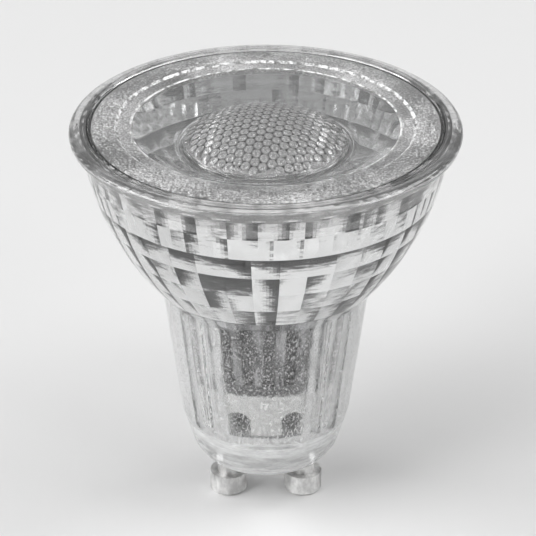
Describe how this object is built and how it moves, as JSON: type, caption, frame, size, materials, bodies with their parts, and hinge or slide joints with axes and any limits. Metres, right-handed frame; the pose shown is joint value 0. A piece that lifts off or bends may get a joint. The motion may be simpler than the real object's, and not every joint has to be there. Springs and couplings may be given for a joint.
{
  "type": "gu10 spotlight bulb",
  "caption": "All-glass reflector spotlight bulb with a faceted bowl, fluted neck, clear lens with a lenslet dome, and a twist-lock base with contact pins.",
  "frame": {"origin": "middle of the lower ends of the contact pins, on the lamp's axis", "axes": "+Z along the lamp's axis towards the light face, X through both pins"},
  "size_m": [0.05, 0.05, 0.0557],
  "materials": {
    "glass": "clear pressed glass, smooth outside, faceted inside, fine pebble on the neck",
    "clear_lens": "clear moulded lens with a finely frosted outer band",
    "clear_adhesive": "clear silicone",
    "aluminium": "stamped, satin",
    "thermal_pad": "matte",
    "white_mask": "satin white",
    "white_silicone": "matte",
    "phosphor": "glossy pale silicone",
    "steel": "bright",
    "white_plastic": "matte",
    "circuit_board": "satin laminate",
    "dark_sleeve": "satin sleeve",
    "ferrite": "matte",
    "enamelled_wire": "enamelled wire",
    "black_moulding": "matte",
    "resistor_body": "satin",
    "nickel": "satin nickel plate",
    "pale_insulation": "satin",
    "black_insulation": "satin"
  },
  "bodies": {
    "root": {"glass_body": "glass", "front_lens": "clear_lens", "lens_adhesive": "clear_adhesive", "heat_spreader": "aluminium", "thermal_pad": "thermal_pad", "led_board": "white_mask", "led_dam_ring": "white_silicone", "led_phosphor": "phosphor", "board_screw_front": "steel", "board_screw_back": "steel", "driver_insulator": "white_plastic", "driver_board": "circuit_board", "input_capacitor": "dark_sleeve", "output_capacitor": "dark_sleeve", "inductor_core": "ferrite", "inductor_winding": "enamelled_wire", "bridge_rectifier": "black_moulding", "driver_chip": "black_moulding", "fusible_resistor": "resistor_body", "contact_pin_left": "nickel", "contact_pin_right": "nickel", "pin_wire_left": "nickel", "pin_wire_right": "nickel", "led_wire_left": "pale_insulation", "led_wire_right": "black_insulation"}
  },
  "joints": []
}
